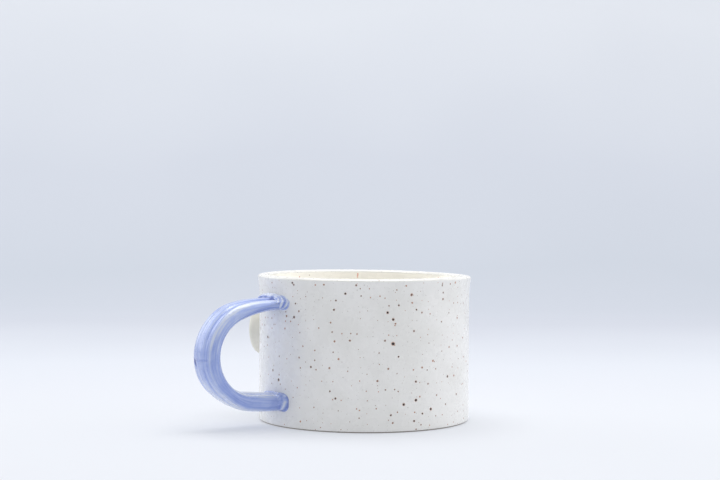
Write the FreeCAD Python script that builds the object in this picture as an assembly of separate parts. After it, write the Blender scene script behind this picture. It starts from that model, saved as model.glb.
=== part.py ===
import FreeCAD, Part
import math
import os

# A wide, low hand-built mug with a ribbed strap handle, in millimetres.
# The origin is at the centre of the foot's underside, +Z is up and the handle reaches towards -X.
# Clay pieces are joined face to face with slip, and the glaze coats lie on them face to face.

# --- driving dimensions ---
MUG_HEIGHT = 66.0
WALL_RADIUS = 47.5          # glazed outside of the upright wall
WALL_THICKNESS = 4.0        # with the glaze on both sides
BASE_THICKNESS = 5.0        # with the glaze on its upper side
GLAZE = 0.4                 # thickness of every glaze coat

LIP_RISE = 1.2              # height of the lip's flat arch above its crisp outer edge
LIP_LEAN = 0.7              # how far the lip's centre leans out from the wall's centre
LIP_LEAN_HEIGHT = 7.0       # height over which it leans out
FOOT_BEVEL = 0.5            # small bevel round the underside
BARE_FOOT = 0.6             # height wiped free of glaze above the surface that the mug stands on
COIL_RADIUS = 4.0           # inside corner, rounded by a thin coil of clay

STRAP_WIDTH = 18.1          # glazed handle strap, before its grooves are pressed in
STRAP_THICKNESS = 7.75
STRAP_SQUARENESS = 2.6      # exponent of the section: 2 is an ellipse, more is squarer
FACE_GROOVE_DEPTH = 0.55    # two grooves along the strap's outer face
BACK_GROOVE_DEPTH = 0.3     # two grooves along its finger side
FACE_GROOVE_PLACES = (-4.7, 3.1)    # measured across from the strap's middle, uneven because pressed by hand
FACE_GROOVE_WIDTH = 1.5
EDGE_GROOVE_DEPTH = 0.45    # one groove along each edge
EDGE_GROOVE_PLACE = 1.6     # nearer the outer face than the finger side
EDGE_GROOVE_WIDTH = 1.2

UPPER_ARM_HEIGHT = 55.0     # strap's centre line where it leaves the wall, level
UPPER_ARM_LEVEL = 46.5      # distance from the mug's axis at which the upper arm starts to bend down
UPPER_ARM_BEND = 58.0       # radius of that gentle bend
UPPER_ARM_TURN = 21.5       # degrees that the upper arm turns down
BOW_RADIUS = 20.2
LOWER_ARM_TILT = 5.0        # degrees that the lower arm drops towards the wall

COLLAR_REACH = 4.2          # how far each joint's smeared clay runs out along the strap
COLLAR_SIDE = 3.0           # how far it spreads on the wall at each side of the strap
COLLAR_RISE = 0.6           # how far it spreads above and below the strap
COLLAR_END = 0.45           # what is left of it, over the strap, at its outer end
COLLAR_TAPER = ((0.05, 0.9), (0.5, 0.35), (1.0, 0.0))   # part of the reach and what is left of the spread there

DISC_RADIUS = 12.2          # cream relief disc on the far side
DISC_STAND = 6.0            # its crown, measured out from the glazed wall
DISC_EDGE = 3.0             # rounding of its front edge
DISC_DOME = 0.8             # crown of its face
DISC_HEIGHT = 39.7
DISC_AZIMUTH = 127.0        # degrees from +X towards +Y

# --- worked-out dimensions ---
CLAY_RADIUS = WALL_RADIUS - GLAZE
CLAY_BORE = WALL_RADIUS - WALL_THICKNESS + GLAZE
GLAZED_BORE = CLAY_BORE - GLAZE
CLAY_BASE = BASE_THICKNESS - GLAZE
HALF_WALL = WALL_THICKNESS / 2
HALF_CLAY = HALF_WALL - GLAZE
WALL_CENTRE = WALL_RADIUS - HALF_WALL
LIP_CENTRE = WALL_CENTRE + LIP_LEAN
LIP_HEIGHT = MUG_HEIGHT - LIP_RISE
LEAN_START = LIP_HEIGHT - LIP_LEAN_HEIGHT
INSIDE_WALL = WALL_CENTRE - HALF_WALL   # radius at which the handle's solids start, to be trimmed back

SECTION_POINTS = 72
AXIS = FreeCAD.Vector(0, 0, 1)
ORIGIN = FreeCAD.Vector(0, 0, 0)


# --- turned pieces ---
def in_plane(point):
    """A (radius, height) pair as a point of the XZ plane."""
    radius, height = point
    return FreeCAD.Vector(radius, 0, height)


def lip_point(across):
    """Point level with the lip's outer edge, measured outwards from the lip's centre."""
    return (LIP_CENTRE + across, LIP_HEIGHT)


def lip_arch(half_width, rise):
    """Flat half ellipse over the top of the wall."""
    crown = (LIP_CENTRE, LIP_HEIGHT + rise)
    ellipse = Part.Ellipse(in_plane(lip_point(half_width)), in_plane(crown), in_plane(lip_point(0)))
    return Part.Arc(ellipse, 0, math.pi).toShape()


def turned(start, *steps):
    """Solid turned about Z from a closed outline.

    A step is (end,) for a line, (middle, end) for an arc or (half width, rise, end) for an arch over the lip."""
    edges = []
    here = in_plane(start)
    for step in steps + ((start,),):
        end = in_plane(step[-1])
        if len(step) == 3:
            edges.append(lip_arch(step[0], step[1]))
        elif len(step) == 2:
            edges.append(Part.Arc(here, in_plane(step[0]), end).toShape())
        else:
            edges.append(Part.LineSegment(here, end).toShape())
        here = end
    return Part.Face(Part.Wire(edges)).revolve(ORIGIN, AXIS, 360)


def corner_arc(radius):
    """Middle and end of the inside corner's arc, from the floor up to the wall."""
    centre = (CLAY_BORE - COIL_RADIUS, CLAY_BASE + COIL_RADIUS)
    step = radius * math.sqrt(0.5)
    return (centre[0] + step, centre[1] - step), (centre[0] + radius, centre[1])


def base_slab():
    return turned((0, 0),
                  ((CLAY_RADIUS - FOOT_BEVEL, 0),),
                  ((CLAY_RADIUS, FOOT_BEVEL),),
                  ((CLAY_RADIUS, CLAY_BASE),),
                  ((0, CLAY_BASE),))


def wall_slab():
    return turned((CLAY_BORE, CLAY_BASE),
                  ((CLAY_RADIUS, CLAY_BASE),),
                  ((CLAY_RADIUS, LEAN_START),),
                  (lip_point(HALF_CLAY),),
                  (HALF_CLAY, LIP_RISE - GLAZE, lip_point(-HALF_CLAY)),
                  ((CLAY_BORE, LEAN_START),))


def base_seam_coil():
    middle, end = corner_arc(COIL_RADIUS)
    return turned((CLAY_BORE, CLAY_BASE),
                  ((CLAY_BORE - COIL_RADIUS, CLAY_BASE),),
                  (middle, end))


def outer_glaze(attached):
    """Speckled coat from just above the foot, up the wall and over the lip, open where pieces are attached."""
    coat = turned((CLAY_RADIUS, BARE_FOOT),
                  ((WALL_RADIUS, BARE_FOOT),),
                  ((WALL_RADIUS, LEAN_START),),
                  (lip_point(HALF_WALL),),
                  (HALF_WALL, LIP_RISE, lip_point(-HALF_WALL)),
                  (lip_point(-HALF_CLAY),),
                  (HALF_CLAY, LIP_RISE - GLAZE, lip_point(HALF_CLAY)),
                  ((CLAY_RADIUS, LEAN_START),))
    for piece in attached:
        coat = coat.cut(piece)
    return coat


def liner_glaze():
    """Cream coat down the inside of the wall, over the corner coil and across the floor."""
    clay_middle, clay_end = corner_arc(COIL_RADIUS)
    coat_middle, coat_end = corner_arc(COIL_RADIUS - GLAZE)
    coil_start = CLAY_BORE - COIL_RADIUS
    return turned((0, CLAY_BASE),
                  ((coil_start, CLAY_BASE),),
                  (clay_middle, clay_end),
                  ((CLAY_BORE, LEAN_START),),
                  (lip_point(-HALF_CLAY),),
                  (lip_point(-HALF_WALL),),
                  ((GLAZED_BORE, LEAN_START),),
                  (coat_end,),
                  (coat_middle, (coil_start, BASE_THICKNESS)),
                  ((0, BASE_THICKNESS),))


def filled_mug():
    """The clay body without its hollow, to trim what is attached to its outside."""
    return turned((0, 0),
                  ((CLAY_RADIUS, 0),),
                  ((CLAY_RADIUS, LEAN_START),),
                  (lip_point(HALF_CLAY),),
                  ((0, MUG_HEIGHT),))


# --- handle ---
def bump(place, centre, width):
    return math.exp(-((place - centre) / width) ** 2)


def rounded_oblong(turn, half_width, half_thickness):
    """Point of the strap's smooth outline for a turn round it, as (across, out)."""
    power = 2 / STRAP_SQUARENESS
    cosine = math.cos(turn)
    sine = math.sin(turn)
    across = half_width * math.copysign(abs(cosine) ** power, cosine)
    out = half_thickness * math.copysign(abs(sine) ** power, sine)
    return across, out


def strap_section_point(turn, inset):
    """One point of the ribbed section as (across the strap, out from the finger side)."""
    across, out = rounded_oblong(turn, STRAP_WIDTH / 2 - inset, STRAP_THICKNESS / 2 - inset)
    depth = FACE_GROOVE_DEPTH if out > 0 else BACK_GROOVE_DEPTH
    grooves = sum(bump(across, place, FACE_GROOVE_WIDTH) for place in FACE_GROOVE_PLACES)
    flatness = abs(out) / (STRAP_THICKNESS / 2)
    sideness = abs(across) / (STRAP_WIDTH / 2)
    edge = EDGE_GROOVE_DEPTH * bump(out, EDGE_GROOVE_PLACE, EDGE_GROOVE_WIDTH) * sideness
    out -= math.copysign(depth * grooves * flatness, out)
    across -= math.copysign(edge, across)
    return across, out


def strap_section(inset):
    """Closed ribbed section, standing across the start of the handle's path."""
    points = []
    for index in range(SECTION_POINTS):
        across, out = strap_section_point(math.tau * (index + 0.5) / SECTION_POINTS, inset)
        points.append(FreeCAD.Vector(-INSIDE_WALL, across, UPPER_ARM_HEIGHT + out))
    curve = Part.BSplineCurve()
    curve.interpolate(Points=points, PeriodicFlag=True)
    return Part.Wire([curve.toShape()])


def on_circle(centre, radius, degrees):
    """Point of a circle in the XZ plane, with the angle counted from straight up towards -X."""
    angle = math.radians(degrees)
    return centre + FreeCAD.Vector(-radius * math.sin(angle), 0, radius * math.cos(angle))


def arc_between(centre, radius, start, end):
    middle = (start + end) / 2
    points = [on_circle(centre, radius, degrees) for degrees in (start, middle, end)]
    return Part.Arc(*points).toShape()


def lower_arm():
    """Start and end of the straight lower arm's centre line."""
    bend_centre = FreeCAD.Vector(-UPPER_ARM_LEVEL, 0, UPPER_ARM_HEIGHT - UPPER_ARM_BEND)
    bow_start = on_circle(bend_centre, UPPER_ARM_BEND, UPPER_ARM_TURN)
    bow_centre = on_circle(bow_start, BOW_RADIUS, UPPER_ARM_TURN + 180)
    start = on_circle(bow_centre, BOW_RADIUS, 180 - LOWER_ARM_TILT)
    run = -start.x - INSIDE_WALL
    end = start + FreeCAD.Vector(run, 0, -run * math.tan(math.radians(LOWER_ARM_TILT)))
    return bend_centre, bow_centre, start, end


def strap_path():
    """Centre line: level out of the wall, gently down, round the bow and back along the lower arm."""
    bend_centre, bow_centre, arm_start, arm_end = lower_arm()
    root = FreeCAD.Vector(-INSIDE_WALL, 0, UPPER_ARM_HEIGHT)
    leave = FreeCAD.Vector(-UPPER_ARM_LEVEL, 0, UPPER_ARM_HEIGHT)
    return Part.Wire([
        Part.LineSegment(root, leave).toShape(),
        arc_between(bend_centre, UPPER_ARM_BEND, 0, UPPER_ARM_TURN),
        arc_between(bow_centre, BOW_RADIUS, UPPER_ARM_TURN, 180 - LOWER_ARM_TILT),
        Part.LineSegment(arm_start, arm_end).toShape(),
    ])


def swept_strap(inset):
    sweep = Part.BRepOffsetAPI.MakePipeShell(strap_path())
    sweep.setBiNormalMode(FreeCAD.Vector(0, 1, 0))
    sweep.add(strap_section(inset))
    sweep.build()
    sweep.makeSolid()
    return sweep.shape()


def collar_section(centre, up_direction, half_width, half_height):
    """Closed outline across the strap, with the strap's rounded section but no grooves."""
    points = []
    count = SECTION_POINTS // 2
    for index in range(count):
        across, rise = rounded_oblong(math.tau * index / count, half_width, half_height)
        points.append(centre + FreeCAD.Vector(0, across, 0) + up_direction * rise)
    curve = Part.BSplineCurve()
    curve.interpolate(Points=points, PeriodicFlag=True)
    return Part.Wire([curve.toShape()])


def collar(root, out_direction):
    """Clay smeared from the wall onto the strap: wide on the wall, thin where it ends on the strap."""
    up_direction = FreeCAD.Vector(0, 1, 0).cross(out_direction)
    if up_direction.z < 0:
        up_direction = up_direction * -1
    stations = [(0, 1.0)]
    for reach, spread in COLLAR_TAPER:
        stations.append((WALL_RADIUS - INSIDE_WALL + reach * COLLAR_REACH, spread))
    wires = []
    for distance, spread in stations:
        half_width = STRAP_WIDTH / 2 + COLLAR_END + spread * (COLLAR_SIDE - COLLAR_END)
        half_height = STRAP_THICKNESS / 2 + COLLAR_END + spread * (COLLAR_RISE - COLLAR_END)
        centre = root + out_direction * distance
        wires.append(collar_section(centre, up_direction, half_width, half_height))
    return Part.makeLoft(wires, True, False)


# --- relief ---
def relief_disc():
    """Round cream disc with a soft edge, standing on the wall."""
    crown = WALL_RADIUS + DISC_STAND
    shoulder = crown - DISC_DOME - DISC_EDGE
    bend = DISC_EDGE * math.sqrt(0.5)
    rim = DISC_RADIUS - DISC_EDGE
    dome_radius = (rim ** 2 + DISC_DOME ** 2) / (2 * DISC_DOME)
    halfway_drop = dome_radius - math.sqrt(dome_radius ** 2 - (rim / 2) ** 2)
    disc = turned((0, INSIDE_WALL - DISC_EDGE),
                  ((DISC_RADIUS, INSIDE_WALL - DISC_EDGE),),
                  ((DISC_RADIUS, shoulder),),
                  ((rim + bend, shoulder + bend), (rim, shoulder + DISC_EDGE)),
                  ((rim / 2, crown - halfway_drop), (0, crown)))
    disc.rotate(ORIGIN, FreeCAD.Vector(0, 1, 0), 90)
    disc.rotate(ORIGIN, AXIS, DISC_AZIMUTH)
    disc.translate(FreeCAD.Vector(0, 0, DISC_HEIGHT))
    return disc


def build():
    body = filled_mug()
    arm_start, arm_end = lower_arm()[2:]
    upper_root = FreeCAD.Vector(-INSIDE_WALL, 0, UPPER_ARM_HEIGHT)
    lower_direction = (arm_start - arm_end).normalize()

    strap = swept_strap(GLAZE).cut(body)
    upper = collar(upper_root, FreeCAD.Vector(-1, 0, 0)).cut(body).cut(strap)
    lower = collar(arm_end, lower_direction).cut(body).cut(strap)
    disc = relief_disc().cut(body)
    handle_coat = swept_strap(0).cut(strap).cut(body).cut(upper).cut(lower)
    attached = [strap, upper, lower, disc]

    return {
        "base_slab": base_slab(),
        "wall_slab": wall_slab(),
        "base_seam_coil": base_seam_coil(),
        "handle_strap": strap,
        "handle_upper_joint": upper,
        "handle_lower_joint": lower,
        "relief_disc": disc,
        "outer_glaze": outer_glaze(attached),
        "liner_glaze": liner_glaze(),
        "handle_glaze": handle_coat,
    }


os.makedirs("parts", exist_ok=True)
for name, shape in build().items():
    shape.exportStep(f"parts/{name}.step")
    box = shape.optimalBoundingBox()
    print(f"{name}: solids {len(shape.Solids)}, valid {shape.isValid()}, volume {shape.Volume:.0f} mm3, "
          f"x {box.XMin:.1f}..{box.XMax:.1f}, y {box.YMin:.1f}..{box.YMax:.1f}, z {box.ZMin:.1f}..{box.ZMax:.1f}")
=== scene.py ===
"""A wide, low hand-built mug with a ribbed blue strap handle: its looks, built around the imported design.

The handle reaches towards -X, the mug stands on z = 0 and its own axis is Z. Shapes are worked out in
millimetres and written into meshes in metres.
"""
import math
from types import SimpleNamespace

import bpy
import numpy as np
from mathutils import Matrix, Vector


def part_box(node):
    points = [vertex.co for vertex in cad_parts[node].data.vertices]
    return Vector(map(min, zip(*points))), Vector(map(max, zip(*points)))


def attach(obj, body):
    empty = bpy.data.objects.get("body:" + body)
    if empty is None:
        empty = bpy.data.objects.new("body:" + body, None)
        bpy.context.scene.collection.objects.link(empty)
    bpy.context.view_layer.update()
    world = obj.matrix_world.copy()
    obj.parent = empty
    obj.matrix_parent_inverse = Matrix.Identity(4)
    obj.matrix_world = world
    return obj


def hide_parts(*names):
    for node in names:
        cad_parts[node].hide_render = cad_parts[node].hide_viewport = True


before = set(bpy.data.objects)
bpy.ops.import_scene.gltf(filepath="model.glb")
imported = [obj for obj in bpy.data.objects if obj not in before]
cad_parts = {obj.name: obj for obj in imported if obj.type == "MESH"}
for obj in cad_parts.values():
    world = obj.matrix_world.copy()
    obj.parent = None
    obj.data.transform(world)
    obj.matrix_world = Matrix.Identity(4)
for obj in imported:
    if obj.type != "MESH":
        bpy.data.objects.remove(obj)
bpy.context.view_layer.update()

MM = 0.001
TAU = math.tau


# ---------------------------------------------------------------- sizes, read from the frame, in millimetres
def node_box(node):
    """Lowest and highest corner of a CAD node in millimetres."""
    low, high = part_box(node)
    return low / MM, high / MM


coat_low, coat_high = node_box("outer_glaze")
coil_low, coil_high = node_box("base_seam_coil")
lower_joint_low, lower_joint_high = node_box("handle_lower_joint")
disc_low, disc_high = node_box("relief_disc")
base_high = node_box("base_slab")[1]
wall_high = node_box("wall_slab")[1]

CLAY_RADIUS = base_high.x
CLAY_BASE = base_high.z                 # thickness of the slab that the wall stands on
GLAZE = coat_high.z - wall_high.z       # thickness of every coat
WALL_RADIUS = CLAY_RADIUS + GLAZE
WALL_THICKNESS = 4.0                    # with its two coats
HALF_WALL = WALL_THICKNESS / 2
HALF_CLAY = HALF_WALL - GLAZE
WALL_CENTRE = WALL_RADIUS - HALF_WALL
MUG_HEIGHT = coat_high.z
BARE_FOOT = coat_low.z                  # height of the unglazed edge at the foot
LIP_RISE = 1.2                          # height of the lip's flat arch above its crisp outer edge
LIP_HEIGHT = MUG_HEIGHT - LIP_RISE
LIP_LEAN = coat_high.x - WALL_RADIUS    # how far the lip leans outwards
LIP_LEAN_HEIGHT = 7.0                   # height of the part of the wall that leans
COIL_RADIUS = coil_high.z - coil_low.z
COIL_CENTRE = (coil_high.x - COIL_RADIUS, coil_high.z)

STRAP_WIDTH = 18.1                      # with its glaze
STRAP_THICKNESS = 7.75                  # with its glaze
STRAP_SQUARENESS = 2.6                  # 2 gives an ellipse, more gives squarer corners
UPPER_ARM_HEIGHT = 55.0                 # height of the strap's centre where it leaves the wall
UPPER_ARM_LEVEL = 46.5                  # distance from the axis at which the upper arm starts to bend
UPPER_ARM_BEND = 58.0                   # radius of that gentle bend
UPPER_ARM_TURN = math.radians(21.5)     # how far the gentle bend turns
BOW_RADIUS = 20.2                       # radius of the bow's centre line
LOWER_ARM_TURN = math.radians(175.0)    # heading where the bow ends and the straight lower arm starts
LOWER_ARM_END = (lower_joint_low.z + lower_joint_high.z) / 2 + 0.05     # height of that arm's end at the wall
UPPER_PRESS = 2.1                       # how far the strap's upper face is pressed in under the bead
NEAR_GROOVE = -4.7                      # across the strap's outer face, where minus is the viewer's side
FAR_GROOVE = 3.1
CORNER_RIDGE_AND_HIGHLIGHT = -7.7
EDGE_GROOVE = 1.6                       # out from the middle of the strap's edge
PIT = 4.8
DISC_STAND = 6.0                        # how far the relief disc stands out from the wall

VIEW_AZIMUTH = math.radians(-33.0)
VIEW_ANGLE = VIEW_AZIMUTH - math.pi / 2     # where the camera stands, counted from +X


# ---------------------------------------------------------------- small helpers
def smooth(value, low, high):
    """0 below low, 1 above high and an even S between."""
    part = np.clip((value - low) / (high - low), 0, 1)
    return part * part * (3 - 2 * part)


def bump(value, centre, width):
    """1 at the centre, fading away on both sides of it."""
    return np.exp(-((value - centre) / width) ** 2)


def lobe(turns, towards, sharpness):
    """1 where the turn points towards a direction (in half turns), 0 from a quarter turn away."""
    return np.clip(np.cos(turns - towards * math.pi), 0, 1) ** sharpness


def waves(angle, along, seed, count=6, turns=7, tallest=60.0):
    """Soft irregular waves round and along a surface, between about -1 and 1."""
    random = np.random.default_rng(seed)
    total = 0
    for _ in range(count):
        around = random.integers(1, turns + 1)
        length = random.uniform(0.35, 1.0) * tallest
        total = total + random.uniform(0.5, 1) * np.sin(
            around * angle + TAU * along / length + random.uniform(0, TAU))
    return total / count * 1.6


def srgb(red, green, blue):
    """Linear colour for a colour given as 0 to 255 screen values."""
    values = []
    for value in (red, green, blue):
        part = value / 255
        values.append(part / 12.92 if part <= 0.04045 else ((part + 0.055) / 1.055) ** 2.4)
    return (*values, 1.0)


def new_object(name, points, faces, attributes=None):
    """Mesh object from points in millimetres, smooth but for its sharp edges.

    attributes holds more values for every point, as lists of numbers or of vectors."""
    mesh = bpy.data.meshes.new(name)
    mesh.from_pydata((np.asarray(points) * MM).tolist(), [], faces)
    mesh.validate()
    for key, values in (attributes or {}).items():
        values = np.asarray(values, dtype=np.float32)
        kind = "FLOAT" if values.ndim == 1 else "FLOAT_VECTOR"
        layer = mesh.attributes.new(key, kind, "POINT")
        layer.data.foreach_set("value" if kind == "FLOAT" else "vector", values.ravel())
    mesh.polygons.foreach_set("use_smooth", [True] * len(mesh.polygons))
    mesh.set_sharp_from_angle(angle=math.radians(55))
    mesh.update()
    piece = bpy.data.objects.new(name, mesh)
    bpy.context.scene.collection.objects.link(piece)
    return piece


def place(piece, material, slot, *nodes):
    """Dresses a piece, makes it ride on the mug and, where it stands for CAD nodes, hides them."""
    piece.data.materials.clear()
    piece.data.materials.append(material)
    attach(piece, "root")
    if nodes:
        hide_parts(*nodes)
    return piece


def ring_faces(rows, columns, wrap_rows):
    """Quads between rows of points that run round in columns."""
    faces = []
    last = rows if wrap_rows else rows - 1
    for row in range(last):
        here = row * columns
        there = ((row + 1) % rows) * columns
        for column in range(columns):
            beside = (column + 1) % columns
            faces.append((here + column, here + beside, there + beside, there + column))
    return faces


# ---------------------------------------------------------------- the body, turned round the axis
def rim_drop(angle):
    """How far the uneven rim sags below its full height: not at all in front, most at the right and back."""
    from_front = angle - VIEW_ANGLE
    drop = 0.40 - 0.40 * np.cos(from_front) + 0.36 * np.sin(from_front) + 0.12 * (1 - np.cos(2 * from_front))
    drop = drop - 0.5 * lobe(from_front, 0.3, 3) + 0.05 * waves(angle, 0 * angle, 12, turns=9)
    return np.clip(drop, 0, None)


def hand_warp(radius, angle, height):
    """Slight unevenness of a hand-built wall. It only goes inwards and down, and fades out at the foot."""
    grow = smooth(height, 3, 30)
    oval = 0.04 * (1 + np.cos(2 * (angle - 0.6)))
    ripple = 0.05 * (1 + waves(angle, height, 11, count=9, turns=6, tallest=90))
    radius = radius - grow * np.clip(oval + ripple, 0, None) * smooth(radius, 10, 35)
    height = height - rim_drop(angle) * smooth(height, 30, MUG_HEIGHT)
    return radius, height


def wall_centre(height):
    """Radius of the middle of the wall, which leans outwards just below the lip."""
    return WALL_CENTRE + LIP_LEAN * np.clip((height - LIP_HEIGHT) / LIP_LEAN_HEIGHT + 1, 0, 1) ** 1.6


def wall_line(offset, start, end, count):
    """Points up or down the wall, offset from its centre."""
    heights = np.linspace(start, end, count)
    return [(wall_centre(height) + offset, height) for height in heights]


def arc(centre, radius, start, end, count):
    """Points of an arc, angles in degrees from outwards towards up."""
    angles = np.radians(np.linspace(start, end, count))
    return [(centre[0] + radius * math.cos(a), centre[1] + radius * math.sin(a)) for a in angles]


def turned(name, profile, columns=360, closed=True):
    """Mesh turned round the axis from a profile of (radius, height). Points on the axis become one point."""
    profile = np.array(profile)
    angles = math.pi + np.arange(columns) * TAU / columns
    points = []
    starts = []
    for radius, height in profile:
        starts.append(len(points))
        if radius < 1e-6:
            points.append((0, 0, height))
            continue
        radii, heights = hand_warp(np.full(columns, radius), angles, np.full(columns, height))
        points.extend(zip(radii * np.cos(angles), radii * np.sin(angles), heights))
    faces = []
    rows = len(profile)
    for row in range(rows if closed else rows - 1):
        following = (row + 1) % rows
        here = starts[row]
        there = starts[following]
        here_axis = profile[row][0] < 1e-6
        there_axis = profile[following][0] < 1e-6
        for column in range(columns):
            beside = (column + 1) % columns
            if here_axis and there_axis:
                break
            if here_axis:
                faces.append((here, there + beside, there + column))
            elif there_axis:
                faces.append((here + column, here + beside, there))
            else:
                faces.append((here + column, here + beside, there + beside, there + column))
    piece = new_object(name, points, faces)
    unroll(piece.data, profile, starts, columns)
    return piece


def unroll(mesh, profile, starts, columns):
    """Gives every face corner its place on the unrolled wall: millimetres round from the handle, and up."""
    steps = np.hypot(*np.diff(profile, axis=0).T)
    runs = profile[0][1] + np.concatenate([[0], np.cumsum(steps)])
    corners = np.empty(len(mesh.loops), dtype=np.int32)
    mesh.loops.foreach_get("vertex_index", corners)
    rows = np.searchsorted(starts, corners, side="right") - 1
    turn = (corners - np.array(starts)[rows]) / columns
    sides = np.empty(len(mesh.polygons), dtype=np.int32)
    mesh.polygons.foreach_get("loop_total", sides)
    owner = np.repeat(np.arange(len(sides)), sides)
    furthest = np.zeros(len(sides))
    np.maximum.at(furthest, owner, turn)
    turn = np.where(furthest[owner] - turn > 0.5, turn + 1, turn)
    place = np.stack([turn * TAU * WALL_RADIUS, runs[rows], np.zeros(len(rows))], 1).astype(np.float32)
    layer = mesh.attributes.new("wall_place", "FLOAT_VECTOR", "CORNER")
    layer.data.foreach_set("vector", place.ravel())


def lip(half_width, rise, start, end, count):
    """Flat-topped lip, angles in degrees from outwards towards up."""
    angles = np.radians(np.linspace(start, end, count))
    centre = wall_centre(LIP_HEIGHT)
    return [(centre + half_width * math.cos(a), LIP_HEIGHT + rise * math.sin(a)) for a in angles]


def outer_coat():
    """Speckled coat: up the outside, over the lip, and back down against the clay."""
    thin = GLAZE * 0.35
    profile = [(WALL_CENTRE + HALF_CLAY, BARE_FOOT),
               (WALL_CENTRE + HALF_CLAY + thin, BARE_FOOT + 0.02),
               (WALL_CENTRE + HALF_CLAY + GLAZE * 0.8, BARE_FOOT + 0.2),
               (WALL_CENTRE + HALF_WALL, BARE_FOOT + 0.6)]
    profile += wall_line(HALF_WALL, BARE_FOOT + 1.6, LIP_HEIGHT - 0.3, 60)
    profile += lip(HALF_WALL, LIP_RISE, 0, 180, 33)
    profile += lip(HALF_CLAY, LIP_RISE - GLAZE, 180, 0, 17)
    profile += wall_line(HALF_CLAY, LIP_HEIGHT - 1, BARE_FOOT + 1, 20)
    return turned("outer_glaze_coat", profile)


def clay_wall():
    """The clay between the two coats."""
    profile = wall_line(HALF_CLAY, CLAY_BASE, LIP_HEIGHT - 1, 24)
    profile += lip(HALF_CLAY, LIP_RISE - GLAZE, 0, 180, 13)
    profile += wall_line(-HALF_CLAY, LIP_HEIGHT - 1, CLAY_BASE, 24)
    profile += [(WALL_CENTRE, CLAY_BASE)]
    return turned("clay_wall", profile, columns=240)


def liner_coat():
    """Cream coat over the floor, round the inside corner and up to the lip."""
    floor = CLAY_BASE + GLAZE
    corner_start = COIL_CENTRE[0]
    profile = [(0, floor)]
    profile += [(radius, floor) for radius in np.linspace(2, corner_start - 1, 24)]
    profile += arc(COIL_CENTRE, COIL_RADIUS - GLAZE, -90, 0, 15)
    profile += wall_line(-HALF_WALL, COIL_CENTRE[1] + 1.5, LIP_HEIGHT, 48)
    profile += wall_line(-HALF_CLAY, LIP_HEIGHT, COIL_CENTRE[1] + 1.5, 20)
    profile += arc(COIL_CENTRE, COIL_RADIUS, 0, -90, 9)
    profile += [(corner_start / 2, CLAY_BASE), (0, CLAY_BASE)]
    return turned("liner_glaze_coat", profile[::-1], closed=False)


def clay_base():
    """Base slab with a rounded lower edge and an underside a little hollow in the middle."""
    bevel = 0.5
    undercut = 1.3
    edge = CLAY_RADIUS - undercut
    hollow_radius = 37.0
    hollow = 0.3
    radii = np.concatenate([np.linspace(2, hollow_radius, 18), np.linspace(hollow_radius + 1.5, edge - 1, 6)])
    profile = [(0, hollow)]
    profile += [(radius, hollow * (1 - smooth(radius, hollow_radius - 8, hollow_radius))) for radius in radii]
    turns = np.radians(np.linspace(-90, 0, 9))
    profile += [(edge + undercut * math.cos(a), bevel + bevel * math.sin(a)) for a in turns]
    profile += [(CLAY_RADIUS, height) for height in np.linspace(bevel + 0.8, CLAY_BASE, 5)]
    profile += [(CLAY_RADIUS / 2, CLAY_BASE), (0, CLAY_BASE)]
    return turned("clay_base", profile, closed=False)


# ---------------------------------------------------------------- the handle strap
def strap_line(stations):
    """Centre points (x, z), headings and lengths along the handle's centre line, from wall to wall.

    The heading is 0 where the strap leaves the wall and turns down and back."""
    inside = WALL_CENTRE - HALF_WALL
    lead = UPPER_ARM_LEVEL - inside
    bend = UPPER_ARM_BEND * UPPER_ARM_TURN
    bow = BOW_RADIUS * (LOWER_ARM_TURN - UPPER_ARM_TURN)
    bend_end = np.array([-UPPER_ARM_LEVEL - UPPER_ARM_BEND * math.sin(UPPER_ARM_TURN),
                         UPPER_ARM_HEIGHT - UPPER_ARM_BEND * (1 - math.cos(UPPER_ARM_TURN))])
    bow_centre = bend_end + BOW_RADIUS * np.array([math.sin(UPPER_ARM_TURN), -math.cos(UPPER_ARM_TURN)])
    bow_end = bow_centre + BOW_RADIUS * np.array([-math.sin(LOWER_ARM_TURN), math.cos(LOWER_ARM_TURN)])
    arm = (-bow_end[0] - inside) / -math.cos(LOWER_ARM_TURN)
    lengths = np.linspace(0, lead + bend + bow + arm, stations)
    centres = []
    headings = []
    for length in lengths:
        if length < lead:
            heading = 0.0
            centre = np.array([-inside - length, UPPER_ARM_HEIGHT])
        elif length < lead + bend:
            heading = (length - lead) / UPPER_ARM_BEND
            centre = np.array([-UPPER_ARM_LEVEL - UPPER_ARM_BEND * math.sin(heading),
                               UPPER_ARM_HEIGHT - UPPER_ARM_BEND * (1 - math.cos(heading))])
        elif length < lead + bend + bow:
            heading = UPPER_ARM_TURN + (length - lead - bend) / BOW_RADIUS
            centre = bow_centre + BOW_RADIUS * np.array([-math.sin(heading), math.cos(heading)])
        else:
            heading = LOWER_ARM_TURN
            past = length - lead - bend - bow
            centre = bow_end + past * np.array([-math.cos(heading), -math.sin(heading)])
        centres.append(centre)
        headings.append(heading)
    return np.array(centres), np.array(headings), lengths


def rounded_section(turns, half_width, half_thickness):
    """Rounded-oblong outline: across and out for each turn round it."""
    power = 2 / STRAP_SQUARENESS
    across = half_width * np.sign(np.cos(turns)) * np.abs(np.cos(turns)) ** power
    out = half_thickness * np.sign(np.sin(turns)) * np.abs(np.sin(turns)) ** power
    return across, out


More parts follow.
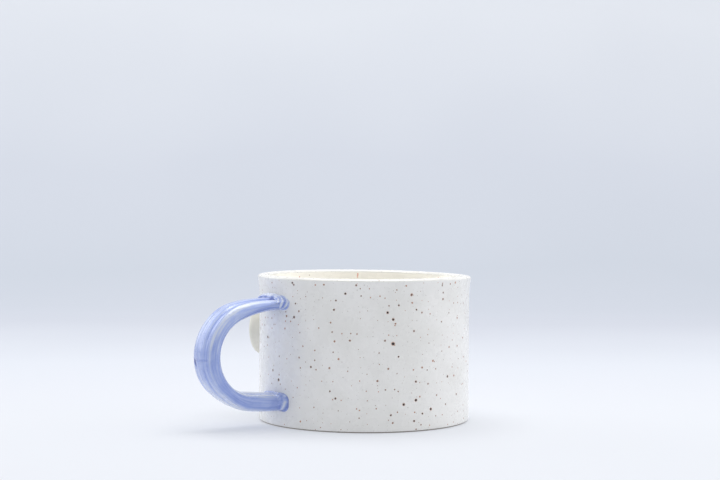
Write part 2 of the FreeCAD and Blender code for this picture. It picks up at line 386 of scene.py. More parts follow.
def strap_marks(across, out, length, whole):
    """What fingers and glaze left on the strap at one place along it, as depths in millimetres, with a pale
    line along the near outer corner that is partly a painted highlight.
    """
    outer = smooth(out, -0.5, 0.5)
    flatness = np.abs(out) / (STRAP_THICKNESS / 2)
    sideness = (np.abs(across) / (STRAP_WIDTH / 2)) ** 2
    drift = 0.35 * math.sin(length / 17 + 1) + 0.2 * math.sin(length / 6.3)
    depth = 1 + 0.35 * math.sin(length / 11 + 0.7) + 0.15 * math.sin(length / 4.1)
    on_upper = float(1 - smooth(length, 24, 48))
    on_bow = float(smooth(length, 36, 50))
    on_lower = float(smooth(length, whole - 52, whole - 26))
    near_groove = bump(across, NEAR_GROOVE + drift, 1.3)
    far_groove = bump(across, FAR_GROOVE + drift * 0.6, 1.4)
    face = (0.5 * near_groove + 0.4 * far_groove) * (1 - 0.45 * on_bow) * depth * flatness * outer
    back = 0.3 * (near_groove + far_groove) * flatness * (1 - outer)
    edge = 0.42 * bump(out, EDGE_GROOVE + 0.3 * drift, 1.0) * sideness
    # Pale line along the near outer corner, only in colour: partly glaze thinned over the corner, partly a
    # painted highlight, strongest on the upper arm.
    ridge = bump(across, CORNER_RIDGE_AND_HIGHLIGHT + 0.4 * drift, 0.9 + 0.7 * on_upper) * outer
    ridge = ridge * (0.75 + 0.25 * math.sin(length / 7 + 2) + 0.5 * on_upper) * (1 - on_lower)
    crease_at = whole * 0.53 - 1.7
    crease = 0.12 * bump(length, crease_at + 0.06 * across, 0.4) * outer * smooth(across, -7.4, -5.5)
    pit = 0.5 * bump(length, crease_at + 0.9 - 0.9 * (across - PIT), 0.9) * bump(across, PIT, 1.2) * outer
    return SimpleNamespace(outer=outer, flatness=flatness, on_lower=on_lower, face=face, back=back, edge=edge,
                           ridge=ridge, crease=crease, pit=pit)


def strap_section(marks, turns, across, out, length, whole):
    """The strap's outline with its marks in it: across and out for each turn round it."""
    uneven = 0.10 * waves(turns, np.full(len(turns), length), 21, turns=3, tallest=40)
    pressed = UPPER_PRESS * (1 - smooth(length, 3.5, 28.0)) * marks.outer
    thinner = 0.5 * smooth(across, 0, 8.5) * bump(length, whole * 0.36, 22) * marks.outer
    thinner = thinner + 0.7 * bump(length, whole - 30, 7) * marks.outer
    belly = 0.5 * bump(length, whole - 15, 9) * marks.outer
    moved_out = out - np.sign(out) * (marks.face + marks.back) - marks.outer * (marks.crease + marks.pit)
    moved_out = moved_out + uneven * marks.flatness - pressed - thinner + belly - 0.03 * marks.outer
    return across - np.sign(across) * marks.edge, moved_out


def strap_pool(marks, across, out, length, whole):
    """How deep the glaze lies: 0 where it thins out on ridges, 1 and more where it has pooled. It also
    carries a painted highlight along the near outer corner and painted shade towards both joints.
    """
    # Deeper blue towards both joints: partly glaze gathered there, partly painted shade.
    ends = 1 - smooth(min(length, whole - length), 7, 24)
    inner_edge = smooth(-across, 7.4, 8.6) * bump(out, -2.8, 1.6)
    far_edge = bump(across, 7.8, 1.4) * marks.outer
    face_fade = 1 - 0.9 * float(smooth(length, whole * 0.45, whole * 0.6))
    face_tone = 0.28 * float(smooth(length, 36, 47)) * marks.outer * (1 - marks.on_lower)
    pool = 0.36 + face_tone + 0.65 * marks.face * face_fade + 0.25 * marks.back
    pool = pool + 0.5 * marks.edge * (1 - marks.on_lower) - 0.5 * marks.ridge
    pool = pool + 0.45 * inner_edge + 0.5 * far_edge + 3.5 * marks.crease + 5 * marks.pit + 0.2 * ends
    pool = pool + marks.on_lower * (-0.35 + 0.65 * bump(out, 0.8, 2.2))
    off_wall = length - (WALL_THICKNESS - WALL_RADIUS + np.sqrt(WALL_RADIUS ** 2 - across ** 2))
    bead_edge = 3.4 + 0.7 * np.sin(1.2 * across + 1) + 1.4 * smooth(across, 2, 8)
    pool = pool + 0.9 * bump(off_wall, bead_edge, 0.7) * marks.outer * smooth(across, -8, -4)
    return np.clip(pool, 0, 2)


def strap(name, inset, stations=300, around=144):
    """The strap: three broad ribs on its outer face, a groove along each edge, a crease and a pit.

    inset is how far the surface lies below the glaze: 0 for the glaze itself."""
    centres, headings, lengths = strap_line(stations)
    turns = TAU * (np.arange(around) + 0.5) / around
    whole = lengths[-1]
    points = []
    places = []
    pools = []
    for centre, heading, length in zip(centres, headings, lengths):
        across, out = rounded_section(turns, STRAP_WIDTH / 2 - inset, STRAP_THICKNESS / 2 - inset)
        marks = strap_marks(across, out, length, whole)
        moved_across, moved_out = strap_section(marks, turns, across, out, length, whole)
        x = centre[0] - moved_out * math.sin(heading)
        z = centre[1] + moved_out * math.cos(heading)
        points.append(np.stack([x, moved_across, z], 1))
        places.append(np.stack([np.full(around, length), across, out], 1))
        pools.append(strap_pool(marks, across, out, length, whole))
    faces = [tuple(reversed(face)) for face in ring_faces(stations, around, False)]
    faces.append(tuple(range(around)))
    faces.append(tuple(reversed(range((stations - 1) * around, stations * around))))
    attributes = {"strap_place": np.concatenate(places), "pool": np.concatenate(pools)}
    return new_object(name, np.concatenate(points), faces, attributes)


# ---------------------------------------------------------------- the smeared joints
def joint(name, arm_height, arm_tilt, pressed, shape, seed):
    """Bead of clay smeared round the strap's end, between the strap and the wall.

    pressed is how far the strap's upper face is sunk under the bead. shape gives, for every turn round the
    strap, how far the bead reaches along it, how far it spreads over the wall, how full it is in between
    and how its ridges swell."""
    around = 240
    turns = TAU * (np.arange(around) + 0.5) / around
    across, rise = rounded_section(turns, STRAP_WIDTH / 2 - 0.2, STRAP_THICKNESS / 2 - 0.2)
    step_across = np.roll(across, -1) - np.roll(across, 1)
    step_rise = np.roll(rise, -1) - np.roll(rise, 1)
    size = np.hypot(step_across, step_rise)
    normal_across = step_rise / size
    normal_rise = -step_across / size
    rise = rise - pressed * smooth(rise, -0.5, 2.5)
    ripple = waves(turns, 0 * turns, seed, count=8, turns=14)
    reach, spread, fullness, swell_at = shape(turns, ripple)
    rings = []
    pools = []
    for part in np.linspace(0, 1, 40):
        quarter = part * math.pi / 2
        swell, pool = swell_at(turns, part, ripple)
        full_reach = reach * math.cos(quarter)
        full_spread = spread * math.sin(quarter)
        hollow_reach = reach * (1 - math.sin(quarter))
        hollow_spread = spread * (1 - math.cos(quarter))
        off_wall = hollow_reach + fullness * (full_reach - hollow_reach)
        off_strap = hollow_spread + fullness * (full_spread - hollow_spread)
        rings.append((off_wall + swell * 0.6, off_strap + swell * 0.8))
        pools.append(pool + 0 * turns)
    in_wall = np.full(around, -1.0)
    in_strap = np.full(around, -1.2)
    rings += [(in_wall, spread), (in_wall, in_strap), (reach * 0.5, in_strap)]
    pools += [np.ones(around)] * 3
    points = []
    for off_wall, off_strap in rings:
        y = across + normal_across * off_strap
        z = arm_height + math.tan(arm_tilt) * off_wall + rise + normal_rise * off_strap
        x = -(np.sqrt(WALL_RADIUS ** 2 - y ** 2) - 0.12 + off_wall)
        points.append(np.stack([x, y, z], 1))
    points = np.concatenate(points)
    faces = ring_faces(len(rings), around, True)
    return new_object(name, points, faces, {"pool": np.concatenate(pools), "strap_place": points})


def upper_shape(turns, ripple):
    """Wavy bead along the top and finger-smeared crescents on the side that faces the viewer."""
    top = lobe(turns, 0.40, 0.8)
    near = lobe(turns, 0.98, 3)
    far = lobe(turns, 0.08, 3)
    side = lobe(turns, 1.0, 2)
    reach = 1.0 + top * (1.5 + 0.9 * ripple) + 4.2 * near + 3.0 * far
    spread = 0.1 + top * (1.9 + 0.35 * ripple) + 2.4 * near + 0.9 * far
    fullness = 0.25 + 0.7 * top * (1 - side)

    def swell_at(turns, part, ripple):
        inner = math.sin(part * math.pi)
        ridges = np.cos(TAU * (2.9 * part + 0.9 * (turns - math.pi) - 0.2))
        sunk = -0.35 * side * (1 - smooth(part, 0, 0.25))
        swell = inner * (0.42 * side * ridges + 0.2 * top * (1 - side)) + sunk
        line = 1 - float(smooth(part, 0.12, 0.42))
        pool = 0.32 + top * (1 - side) * (0.65 * line - 0.4 * (1 - line))
        pool = pool - 0.75 * side * ridges * inner - 0.25 * side * float(smooth(part, 0.8, 1))
        return swell, np.clip(pool, 0, 1.8)

    return reach, spread, fullness, swell_at


def lower_shape(turns, ripple):
    """Thin lip along the top and one rounded ridge in a pooled ring on the side that faces the viewer."""
    top = lobe(turns, 0.5, 0.7)
    near = lobe(turns, 1.0, 2.5)
    far = lobe(turns, 0.0, 3)
    side = lobe(turns, 1.0, 2)
    ridge_side = lobe(turns, 1.08, 9)
    reach = 0.9 + top * (0.9 + 0.35 * ripple) + 3.6 * near + 1.4 * far
    spread = 0.05 + top * (0.85 + 0.15 * ripple) + 2.5 * near + 0.9 * far
    fullness = 0.4 + 0.4 * top * (1 - side) + 0.2 * side
    slant = -0.4 * np.clip(turns - 1.08 * math.pi, -0.6, 0.6)

    def swell_at(turns, part, ripple):
        ridge = bump(part, 0.52 + slant, 0.12)
        near_groove = bump(part, 0.27 + slant, 0.12)
        wall_groove = bump(part, 0.8 + slant, 0.12)
        sunk = -0.35 * side * (1 - smooth(part, 0, 0.2))
        swell = 0.5 * ridge_side * ridge - side * (0.2 * near_groove + 0.3 * wall_groove) + sunk
        swell = swell + 0.12 * top * (1 - side) * ridge
        wall_line = float(bump(part, 0.95, 0.18))
        pool = 0.5 - 0.6 * ridge_side * ridge + side * (0.4 * near_groove + 0.6 * wall_groove)
        pool = pool + top * (1 - side) * (0.9 * wall_line - 0.6 * ridge) + 0.5 * lobe(turns, 1.3, 3)
        return swell, np.clip(pool, 0, 1.8)

    return reach, spread, fullness, swell_at


# ---------------------------------------------------------------- the relief disc
def relief():
    """Soft-edged round disc on the far side, its flat back sunk into the wall."""
    middle = (disc_low + disc_high) / 2
    radius = (disc_high.z - disc_low.z) / 2
    azimuth = math.atan2(middle.y, middle.x)
    crown = WALL_RADIUS + DISC_STAND
    rounding = 4.4      # depth of the rounded edge
    around = 128
    turns = TAU * np.arange(around) / around
    outline = radius * (1 - 0.008 * (1 + waves(turns, 0 * turns, 31, turns=5)))
    rows = []
    for part in np.linspace(0.04, 1, 22):
        slope = part * math.pi / 2
        across = outline * math.sin(slope) ** 0.7
        rise = crown - rounding + rounding * abs(math.cos(slope)) ** 0.62
        dome = 0.1 * waves(turns, across * 2, 33, turns=3)
        rows.append((across, rise + dome * (1 - part)))
    for depth in (crown - 5.2, crown - 6.6, crown - 8.2):
        rows.append((outline * 0.998, np.full(around, depth)))
    points = [(crown, 0, 0)]
    for across, out in rows:
        out = np.broadcast_to(out, (around,))
        points.extend(zip(out, across * np.cos(turns), across * np.sin(turns)))
    points.append((crown - 8.4, 0, 0))
    grid = ring_faces(len(rows), around, False)
    last = 1 + (len(rows) - 1) * around
    end = len(points) - 1
    faces = [(0, 1 + c, 1 + (c + 1) % around) for c in range(around)]
    faces += [tuple(index + 1 for index in reversed(face)) for face in grid]
    faces += [(end, last + (c + 1) % around, last + c) for c in range(around)]
    turn = Matrix.Rotation(azimuth, 3, "Z")
    points = [turn @ Vector(point) + Vector((0, 0, middle.z)) for point in points]
    return new_object("relief_disc_face", [tuple(point) for point in points], faces)


# ---------------------------------------------------------------- materials
class Nodes:
    """Short way to build a material's nodes."""

    def __init__(self, name):
        self.material = bpy.data.materials.new(name)
        self.material.use_nodes = True
        self.tree = self.material.node_tree
        self.shader = self.tree.nodes["Principled BSDF"]
        self.place = self.add("ShaderNodeTexCoord").outputs["Object"]

    def add(self, kind, inputs=None, **settings):
        node = self.tree.nodes.new(kind)
        for key, value in settings.items():
            setattr(node, key, value)
        for key, value in (inputs or {}).items():
            if isinstance(value, bpy.types.NodeSocket):
                self.tree.links.new(value, node.inputs[key])
            else:
                node.inputs[key].default_value = value
        return node

    def millimetres(self):
        """Object coordinates in millimetres."""
        node = self.add("ShaderNodeVectorMath", {0: self.place, "Scale": 1 / MM}, operation="SCALE")
        return node.outputs[0]

    def link(self, output, socket):
        self.tree.links.new(output, self.shader.inputs[socket])

    def math(self, operation, first, second=0.0):
        return self.add("ShaderNodeMath", {0: first, 1: second}, operation=operation).outputs[0]

    def vector(self, operation, first, second):
        return self.add("ShaderNodeVectorMath", {0: first, 1: second}, operation=operation).outputs[0]

    def noise(self, size, detail=3.0, roughness=0.5):
        """Noise whose blobs are about size millimetres across."""
        inputs = {"Vector": self.place, "Scale": 1 / (size * MM), "Detail": detail, "Roughness": roughness}
        return self.add("ShaderNodeTexNoise", inputs).outputs["Fac"]

    def spread(self, value, low, high, to_low=0.0, to_high=1.0):
        """Goes from to_low to to_high in an S while the value goes from low to high."""
        inputs = {"Value": value, "From Min": low, "From Max": high, "To Min": to_low, "To Max": to_high}
        return self.add("ShaderNodeMapRange", inputs, interpolation_type="SMOOTHSTEP").outputs[0]

    def mix(self, factor, first, second):
        node = self.add("ShaderNodeMix", data_type="RGBA")
        for key, value in (("Factor", factor), (6, first), (7, second)):
            socket = node.inputs[key]
            if isinstance(value, bpy.types.NodeSocket):
                self.tree.links.new(value, socket)
            else:
                socket.default_value = value
        return node.outputs[2]

    def ramp(self, factor, *stops):
        node = self.add("ShaderNodeValToRGB", {"Fac": factor})
        elements = node.color_ramp.elements
        while len(elements) < len(stops):
            elements.new(0.5)
        for element, (position, colour) in zip(elements, stops):
            element.position = position
            element.color = colour
        return node.outputs["Color"]

    def bumps(self, *layers):
        """Stacks bump layers given as (height, depth in millimetres)."""
        normal = None
        for height, depth in layers:
            inputs = {"Height": height, "Distance": depth * MM, "Strength": 1.0}
            if normal:
                inputs["Normal"] = normal
            normal = self.add("ShaderNodeBump", inputs).outputs["Normal"]
        self.link(normal, "Normal")

    def value(self, socket, value):
        self.shader.inputs[socket].default_value = value


def speck_layer(nodes, place, cell, smallest, largest, share, dimensions="3D"):
    """Random specks: masks for core and halo, and a random tone for each speck.

    Sizes are radii in the units of place; share is the part of the cells that holds a speck."""
    cells = nodes.add("ShaderNodeTexVoronoi", {"Vector": place, "Scale": 1 / cell, "Randomness": 1.0},
                      voronoi_dimensions=dimensions)
    split = nodes.add("ShaderNodeSeparateColor", {"Color": cells.outputs["Color"]})
    present = nodes.math("LESS_THAN", split.outputs[0], share)
    shape = nodes.math("POWER", split.outputs[1], 2.0)
    radius = nodes.math("MULTIPLY_ADD", shape, (largest - smallest) / cell)
    radius.node.inputs[2].default_value = smallest / cell
    near = nodes.math("DIVIDE", cells.outputs["Distance"], radius)
    core = nodes.math("MULTIPLY", nodes.spread(near, 1.1, 0.8), present)
    halo = nodes.math("MULTIPLY", nodes.spread(near, 1.75, 1.0), present)
    return core, halo, split.outputs[2]


# The plainest specks: degrees round from +X, height and radius in millimetres
MARKED_SPECKS = (
    (252, 38.6, 0.66), (274.5, 9.6, 0.52), (258, 12.4, 0.50), (265, 14, 0.50), (185, 21, 0.54),
    (249, 52, 0.46), (252, 49, 0.48), (287, 23, 0.44), (197, 49, 0.44), (173, 39, 0.46), (265, 22, 0.42),
    (227, 60, 0.38), (221, 53, 0.38), (222, 15, 0.38), (208, 28, 0.40), (222, 57, 0.34), (264, 5, 0.36),
    (269, 8, 0.36),
    (255, 33, 0.34), (251, 8, 0.34), (198, 55, 0.32), (255, 55, 0.32), (265, 53, 0.32), (219, 18, 0.30),
    (196.3, 63.9, 0.38), (197.2, 63.1, 0.34), (281.8, 63.6, 0.28), (281.8, 62.9, 0.26),
    (60, 44, 0.70), (20, 18, 0.60), (95, 12, 0.55), (330, 30, 0.50), (80, 30, 0.45), (350, 50, 0.50),
)


def marked_specks(nodes, place):
    """One core and one halo mask for all the marked specks."""
    core = None
    halo = None
    for degrees, height, radius in MARKED_SPECKS:
        spot = (math.radians((degrees - 180) % 360) * WALL_RADIUS, height, 0)
        apart = nodes.add("ShaderNodeVectorMath", {0: place, 1: spot}, operation="DISTANCE").outputs["Value"]
        new_core = nodes.spread(apart, radius * 1.15, radius * 0.85)
        new_halo = nodes.spread(apart, radius * 1.7, radius * 1.05)
        core = new_core if core is None else nodes.math("MAXIMUM", core, new_core)
        halo = new_halo if halo is None else nodes.math("MAXIMUM", halo, new_halo)
    return core, halo


def shaken(nodes, place, amount, size):
    """Coordinates shaken a little, so that specks aren't round."""
    shake = nodes.add("ShaderNodeTexNoise", {"Vector": place, "Scale": 1 / size, "Detail": 2.0})
    centred = nodes.vector("SUBTRACT", shake.outputs["Color"], (0.5, 0.5, 0.5))
    scaled = nodes.vector("MULTIPLY", centred, (2 * amount, 2 * amount, 0))
    return nodes.vector("ADD", place, scaled)


def speckled_glaze():
    """Glossy off-white with iron specks, each a dark core in a rusty halo."""
    nodes = Nodes("speckled_glaze")
    cloud = nodes.noise(18, 4.0)
    mottle = nodes.noise(2.2, 4.0, 0.6)
    ground = nodes.mix(nodes.spread(cloud, 0.35, 0.65), srgb(239, 238, 234), srgb(245, 244, 241))
    ground = nodes.mix(nodes.spread(mottle, 0.56, 0.74, 0, 0.25), ground, srgb(216, 216, 215))
    unrolled = nodes.add("ShaderNodeAttribute", attribute_name="wall_place").outputs["Vector"]
    place = shaken(nodes, unrolled, 0.17, 0.9)
    faint_core = speck_layer(nodes, place, 2.2, 0.10, 0.24, 0.40, "2D")[0]
    small_core, small_halo, small_tone = speck_layer(nodes, place, 4.0, 0.15, 0.40, 0.46, "2D")
    large_core, large_halo, large_tone = speck_layer(nodes, place, 8.5, 0.26, 0.50, 0.34, "2D")
    marked_core, marked_halo = marked_specks(nodes, place)
    up = nodes.add("ShaderNodeSeparateXYZ", {0: unrolled}).outputs["Y"]
    below_lip = nodes.spread(up, LIP_HEIGHT + 0.6, LIP_HEIGHT - 0.4, 0.15, 1.0)
    # Painted shade: the glaze from the lip's top over to the inside is a little darker, against the strong
    # light from above, and a little warmer.
    ground = nodes.mix(nodes.spread(up, LIP_HEIGHT, LIP_HEIGHT + 0.8), ground, srgb(236, 235, 230))
    small_core = nodes.math("MULTIPLY", small_core, below_lip)
    small_halo = nodes.math("MULTIPLY", small_halo, below_lip)
    large_core = nodes.math("MULTIPLY", large_core, below_lip)
    large_halo = nodes.math("MULTIPLY", large_halo, below_lip)
    colour = nodes.mix(nodes.math("MULTIPLY", faint_core, 0.5), ground, srgb(150, 136, 124))
    colour = nodes.mix(nodes.math("MULTIPLY", small_halo, 0.38), colour, srgb(200, 142, 98))
    brown = nodes.mix(small_tone, srgb(52, 32, 28), srgb(178, 106, 62))
    colour = nodes.mix(nodes.math("MULTIPLY", small_core, 0.88), colour, brown)
    halo = nodes.math("MAXIMUM", large_halo, marked_halo)
    colour = nodes.mix(nodes.math("MULTIPLY", halo, 0.6), colour, srgb(194, 126, 78))
    brown = nodes.mix(nodes.math("POWER", large_tone, 2.0), srgb(42, 24, 20), srgb(168, 96, 54))
    colour = nodes.mix(nodes.math("MULTIPLY", large_core, 0.92), colour, brown)
    colour = nodes.mix(marked_core, colour, srgb(34, 20, 19))
    nodes.link(colour, "Base Color")
    nodes.link(nodes.spread(nodes.noise(6, 3.0), 0.3, 0.7, 0.22, 0.34), "Roughness")
    pits = nodes.math("MULTIPLY", nodes.math("MAXIMUM", large_core, marked_core), -1.0)
    nodes.bumps((nodes.noise(14, 2.0), 0.07), (nodes.noise(1.3, 3.0), 0.003), (pits, 0.02))
    nodes.value("IOR", 1.5)
    nodes.value("Coat Weight", 0.25)
    nodes.value("Coat Roughness", 0.25)
    return nodes.material


# Rusty spots just under the lip inside: degrees round from +X, height and radius in millimetres
LINER_MARKS = ((61, 63.4, 0.30), (61, 62.8, 0.34), (61.2, 62.2, 0.32), (61.2, 61.6, 0.26), (101, 62.4, 0.30),
               (5, 62.6, 0.26))


def liner_marks(nodes):
    """One mask for the rusty spots inside."""
    mask = None
    for degrees, height, radius in LINER_MARKS:
        turn = math.radians(degrees)
        reach = WALL_CENTRE - HALF_WALL + 0.4
        spot = (reach * math.cos(turn), reach * math.sin(turn), height)
        apart = nodes.add("ShaderNodeVectorMath", {0: nodes.millimetres(), 1: spot}, operation="DISTANCE")
        new_mask = nodes.spread(apart.outputs["Value"], radius * 1.5, radius * 0.6)
        mask = new_mask if mask is None else nodes.math("MAXIMUM", mask, new_mask)
    return mask


def cream_liner():
    """Warm cream glaze with a few specks and the rusty spots under the lip."""
    nodes = Nodes("cream_liner")
    ground = nodes.mix(nodes.noise(15, 3.0), srgb(254, 251, 242), srgb(255, 253, 246))
    place = shaken(nodes, nodes.millimetres(), 0.14, 0.9)
    small_core = speck_layer(nodes, place, 2.6, 0.2, 0.4, 0.16)[0]
    large_core, large_halo = speck_layer(nodes, place, 6.5, 0.3, 0.6, 0.16)[:2]
    colour = nodes.mix(nodes.math("MULTIPLY", small_core, 0.5), ground, srgb(150, 118, 92))
    colour = nodes.mix(nodes.math("MULTIPLY", large_halo, 0.5), colour, srgb(204, 150, 104))
    colour = nodes.mix(nodes.math("MULTIPLY", large_core, 0.85), colour, srgb(120, 76, 50))
    colour = nodes.mix(nodes.math("MULTIPLY", liner_marks(nodes), 0.8), colour, srgb(214, 122, 86))
    nodes.link(colour, "Base Color")
    nodes.link(nodes.spread(nodes.noise(7, 3.0), 0.3, 0.7, 0.2, 0.32), "Roughness")
    nodes.bumps((nodes.noise(16, 2.0), 0.07), (nodes.noise(1.4, 3.0), 0.006))
    nodes.value("Coat Weight", 0.3)
    nodes.value("Coat Roughness", 0.12)
    return nodes.material


def blue_glaze():
    """Glossy periwinkle glaze: thin and pale on ridges, deep where it has pooled."""
    nodes = Nodes("blue_glaze")
    pool = nodes.add("ShaderNodeAttribute", attribute_name="pool").outputs["Fac"]
    along = nodes.add("ShaderNodeAttribute", attribute_name="strap_place").outputs["Vector"]
    broad = nodes.vector("MULTIPLY", along, (0.055, 0.75, 0.55))
    streak = nodes.add("ShaderNodeTexNoise", {"Vector": broad, "Scale": 1.0, "Detail": 5.0}).outputs["Fac"]
    fine = nodes.vector("MULTIPLY", along, (0.05, 1.5, 1.7))
    line = nodes.add("ShaderNodeTexNoise", {"Vector": fine, "Scale": 1.0, "Detail": 3.0}).outputs["Fac"]
    patch = nodes.noise(6, 3.0)
    level = nodes.math("ADD", pool, nodes.spread(streak, 0.3, 0.7, -0.2, 0.2))
    level = nodes.math("ADD", level, nodes.spread(line, 0.3, 0.7, -0.2, 0.2))
    level = nodes.math("ADD", level, nodes.spread(patch, 0.3, 0.7, -0.12, 0.12))
    colour = nodes.ramp(nodes.math("MULTIPLY", level, 0.5),
                        (0.0, srgb(210, 218, 237)), (0.14, srgb(178, 193, 234)), (0.32, srgb(151, 170, 227)),
                        (0.55, srgb(120, 140, 208)), (1.0, srgb(56, 72, 148)))
    nodes.link(colour, "Base Color")
    nodes.link(nodes.spread(patch, 0.3, 0.7, 0.2, 0.3), "Roughness")
    nodes.bumps((nodes.noise(5, 2.0), 0.10), (streak, 0.10), (line, 0.05), (nodes.noise(0.9, 2.0), 0.01))
    nodes.value("IOR", 1.52)
    nodes.value("Coat Weight", 0.6)
    nodes.value("Coat Roughness", 0.12)
    return nodes.material


def cream_relief():
    """Unglazed cream clay, matt and finely grained."""
    nodes = Nodes("cream_relief")
    tone = nodes.mix(nodes.noise(5, 4.0), srgb(228, 225, 210), srgb(240, 237, 225))
    specks = nodes.spread(nodes.noise(0.5, 2.0), 0.68, 0.78, 0, 0.35)
    nodes.link(nodes.mix(specks, tone, srgb(190, 176, 150)), "Base Color")
    nodes.link(nodes.spread(nodes.noise(1.5, 3.0), 0.3, 0.7, 0.6, 0.78), "Roughness")
    nodes.bumps((nodes.noise(3, 3.0), 0.08), (nodes.noise(0.35, 2.0), 0.02))
    return nodes.material


def stoneware_clay():
    """Bare speckled clay, with painted shade darkening it along the edge of the foot."""
    nodes = Nodes("stoneware_clay")
    tone = nodes.mix(nodes.noise(4, 5.0, 0.6), srgb(214, 209, 199), srgb(228, 223, 214))
    place = shaken(nodes, nodes.millimetres(), 0.1, 0.6)
    core, halo = speck_layer(nodes, place, 1.8, 0.2, 0.5, 0.45)[:2]
    colour = nodes.mix(nodes.math("MULTIPLY", halo, 0.3), tone, srgb(160, 116, 82))
    colour = nodes.mix(nodes.math("MULTIPLY", core, 0.75), colour, srgb(82, 58, 44))
    height = nodes.add("ShaderNodeSeparateXYZ", {0: nodes.millimetres()}).outputs["Z"]
    # Painted shade: a thin band of clay just above the floor is darkened, in place of the contact shadow
    # under the foot's edge.
    foot_shade_mask = nodes.math("MULTIPLY", nodes.spread(height, 0.02, 0.12), nodes.spread(height, 0.75, 0.6))
    colour = nodes.mix(nodes.math("MULTIPLY", foot_shade_mask, 0.75), colour, srgb(92, 80, 72))
    nodes.link(colour, "Base Color")
    nodes.link(nodes.spread(nodes.noise(1.2, 3.0), 0.3, 0.7, 0.72, 0.9), "Roughness")
    nodes.bumps((nodes.noise(2.5, 3.0), 0.06), (nodes.noise(0.3, 3.0), 0.04))
    return nodes.material


# ---------------------------------------------------------------- camera, floor and light
CAMERA_DISTANCE = 0.7913                # metres, as the next two
CAMERA_HEIGHT = 0.1096
CAMERA_SIDE = -0.0021
CAMERA_PITCH = math.radians(2.067)
CAMERA_ROLL = math.radians(0.30)
CAMERA_LENS = 87.5
ROOM_STRENGTH = 0.445   # light from straight ahead and above
ROOM_SIDES = 0.60       # how much more comes from either side
ROOM_LEAN = 0.07        # how much more from the right than from the left


def camera():
    """Camera that stands low in front of the mug, looking slightly down."""
    data = bpy.data.cameras.new("camera")
    data.lens = CAMERA_LENS
    data.sensor_width = 36.0
    data.clip_start = 0.01
    view = bpy.data.objects.new("camera", data)
    bpy.context.scene.collection.objects.link(view)
    round_mug = Matrix.Rotation(VIEW_AZIMUTH, 4, "Z")
    stand = Matrix.Translation((CAMERA_SIDE, -CAMERA_DISTANCE, CAMERA_HEIGHT))
    aim = Matrix.Rotation(math.pi / 2 - CAMERA_PITCH, 4, "X") @ Matrix.Rotation(CAMERA_ROLL, 4, "Z")
    view.matrix_world = round_mug @ stand @ aim
    bpy.context.scene.camera = view


SWEEP_GLOW = 0.53       # part of the paper's brightness given as a painted glow, which no shadow reaches
SWEEP_SHOWN = 1.2       # metres of paper from under the mug to the top of the picture


def sweep_material():
    """Pale blue-white paper with painted light and shade: brightest under the mug, dimmer where it curves up,
    lighter again above, and partly a painted glow.
    """
    nodes = Nodes("pale_sweep")
    run = nodes.add("ShaderNodeAttribute", attribute_name="run").outputs["Fac"]
    grain = nodes.spread(nodes.noise(300, 2.0), 0.3, 0.7, -0.02, 0.02)
    level = nodes.math("ADD", nodes.math("DIVIDE", run, SWEEP_SHOWN), grain)
    colour = nodes.ramp(level,
                        (0.0, srgb(225, 228, 234)), (0.08, srgb(223, 226, 233)), (0.19, srgb(219, 223, 231)),
                        (0.42, srgb(204, 208, 218)), (0.64, srgb(201, 207, 217)), (0.80, srgb(209, 214, 224)),
                        (0.97, srgb(225, 229, 236)))
    # Painted glow: part of the paper's colour is given as emission, so shadows on it stay faint.
    nodes.link(nodes.mix(SWEEP_GLOW, colour, (0, 0, 0, 1)), "Base Color")
    nodes.link(colour, "Emission Color")
    nodes.value("Emission Strength", SWEEP_GLOW)
    nodes.value("Roughness", 0.85)
    nodes.value("Specular IOR Level", 0.2)
    return nodes.material


def sweep():
    """Floor that curves up into a back wall, turned to face the camera."""
    half = 3.0
    back = 1.1
    curve = 0.5
    front = -2.6
    line = [(front, 0.0), (-1.0, 0.0), (0.0, 0.0), (back - curve, 0.0)]
    for step in range(1, 17):
        angle = math.pi / 2 * step / 16
        line.append((back - curve + curve * math.sin(angle), curve * (1 - math.cos(angle))))
    line += [(back, 1.2), (back, 2.4)]
    points = []
    runs = []
    run = front
    for row, (along, height) in enumerate(line):
        if row:
            run += math.dist(line[row - 1], line[row])
        for side in (-half, 0, half):
            points.append((side / MM, along / MM, height / MM))
            runs.append(run)
    faces = []
    for row in range(len(line) - 1):
        for column in range(2):
            here = row * 3 + column
            faces.append((here, here + 1, here + 4, here + 3))
    floor = new_object("floor", points, faces, {"run": runs})
    floor.rotation_euler.z = VIEW_AZIMUTH
    floor.data.materials.append(sweep_material())


# Panels: name, metres to the viewer's right, away from the viewer and up, width, depth, watts, colour
SOFTBOXES = (
    ("top", 0.05, 0.16, 1.1, 1.1, 0.8, 10.5, (1, 0.985, 0.965)),
    ("left", -1.1, 0.75, 0.5, 0.9, 0.9, 3.4, (0.98, 0.99, 1)),
    ("right", 1.2, 0.45, 0.55, 1.0, 1.0, 2.2, (1, 0.99, 0.98)),
)


def softbox(name, side, along, height, width, depth, power, colour):
    """Area light placed relative to the camera's view and aimed at the mug."""
    data = bpy.data.lights.new(name, "AREA")
    data.shape = "RECTANGLE"
    data.size = width
    data.size_y = depth
    data.energy = power
    data.color = colour
    lamp = bpy.data.objects.new(name, data)
    bpy.context.scene.collection.objects.link(lamp)
    turn = Matrix.Rotation(VIEW_AZIMUTH, 3, "Z")
    spot = turn @ Vector((side, along, height))
    lamp.location = spot
    lamp.rotation_euler = (Vector((0, 0, 0.03)) - spot).to_track_quat("-Z", "Y").to_euler()


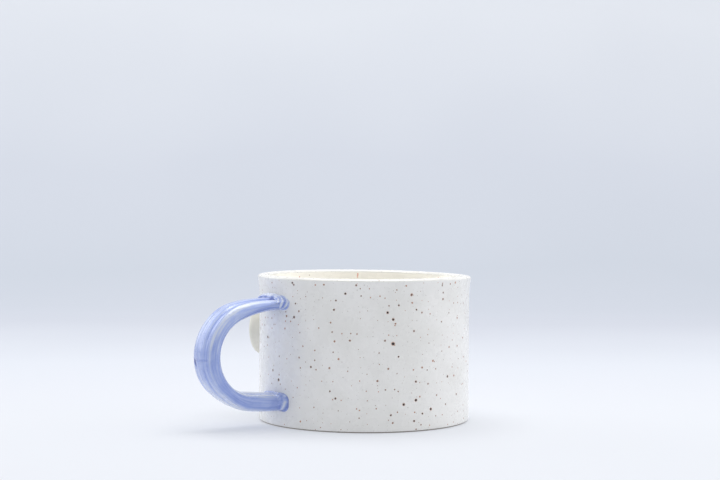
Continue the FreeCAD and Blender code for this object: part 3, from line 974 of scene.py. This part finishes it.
def room_light():
    """Even pale light from all round, stronger from both sides and most from the viewer's right."""
    world = bpy.data.worlds.new("room")
    bpy.context.scene.world = world
    world.use_nodes = True
    tree = world.node_tree
    background = tree.nodes["Background"]
    background.inputs["Color"].default_value = (0.955, 0.97, 1.0, 1)
    place = tree.nodes.new("ShaderNodeTexCoord")
    sideways = tree.nodes.new("ShaderNodeVectorMath")
    sideways.operation = "DOT_PRODUCT"
    sideways.inputs[1].default_value = (math.cos(VIEW_AZIMUTH), math.sin(VIEW_AZIMUTH), 0.0)
    squared = tree.nodes.new("ShaderNodeMath")
    squared.operation = "POWER"
    squared.inputs[1].default_value = 2.0
    sides = tree.nodes.new("ShaderNodeMath")
    sides.operation = "MULTIPLY_ADD"
    sides.inputs[1].default_value = ROOM_SIDES
    lean = tree.nodes.new("ShaderNodeMath")
    lean.operation = "MULTIPLY_ADD"
    lean.inputs[1].default_value = ROOM_LEAN
    lean.inputs[2].default_value = ROOM_STRENGTH
    tree.links.new(place.outputs["Generated"], sideways.inputs[0])
    tree.links.new(sideways.outputs["Value"], squared.inputs[0])
    tree.links.new(sideways.outputs["Value"], lean.inputs[0])
    tree.links.new(squared.outputs[0], sides.inputs[0])
    tree.links.new(lean.outputs[0], sides.inputs[2])
    tree.links.new(sides.outputs[0], background.inputs["Strength"])


def lighting():
    """Soft light from all round, a large panel overhead and a weaker one on either side behind the mug."""
    room_light()
    for panel in SOFTBOXES:
        softbox(*panel)
    scene = bpy.context.scene
    scene.view_settings.view_transform = "Standard"
    scene.view_settings.look = "None"
    scene.view_settings.exposure = 0.0


# ---------------------------------------------------------------- putting it together
camera()
sweep()
lighting()

speckled = speckled_glaze()
cream = cream_liner()
blue = blue_glaze()
bisque = cream_relief()
clay = stoneware_clay()

place(outer_coat(), speckled, "speckled_glaze", "outer_glaze")
place(liner_coat(), cream, "cream_liner", "liner_glaze")
place(clay_wall(), clay, "stoneware_clay", "wall_slab")
place(clay_base(), clay, "stoneware_clay", "base_slab")
place(strap("handle_glaze_coat", 0), blue, "blue_glaze", "handle_glaze")
place(strap("handle_clay", GLAZE, 150, 72), clay, "stoneware_clay", "handle_strap")
upper_joint = joint("upper_joint_bead", UPPER_ARM_HEIGHT, 0.0, UPPER_PRESS, upper_shape, 41)
place(upper_joint, blue, "blue_glaze", "handle_upper_joint")
lower_joint = joint("lower_joint_bead", LOWER_ARM_END, math.pi - LOWER_ARM_TURN, 0.0, lower_shape, 42)
place(lower_joint, blue, "blue_glaze", "handle_lower_joint")
place(relief(), bisque, "cream_relief", "relief_disc")
seam_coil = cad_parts["base_seam_coil"]
seam_coil.data.materials.clear()
seam_coil.data.materials.append(clay)
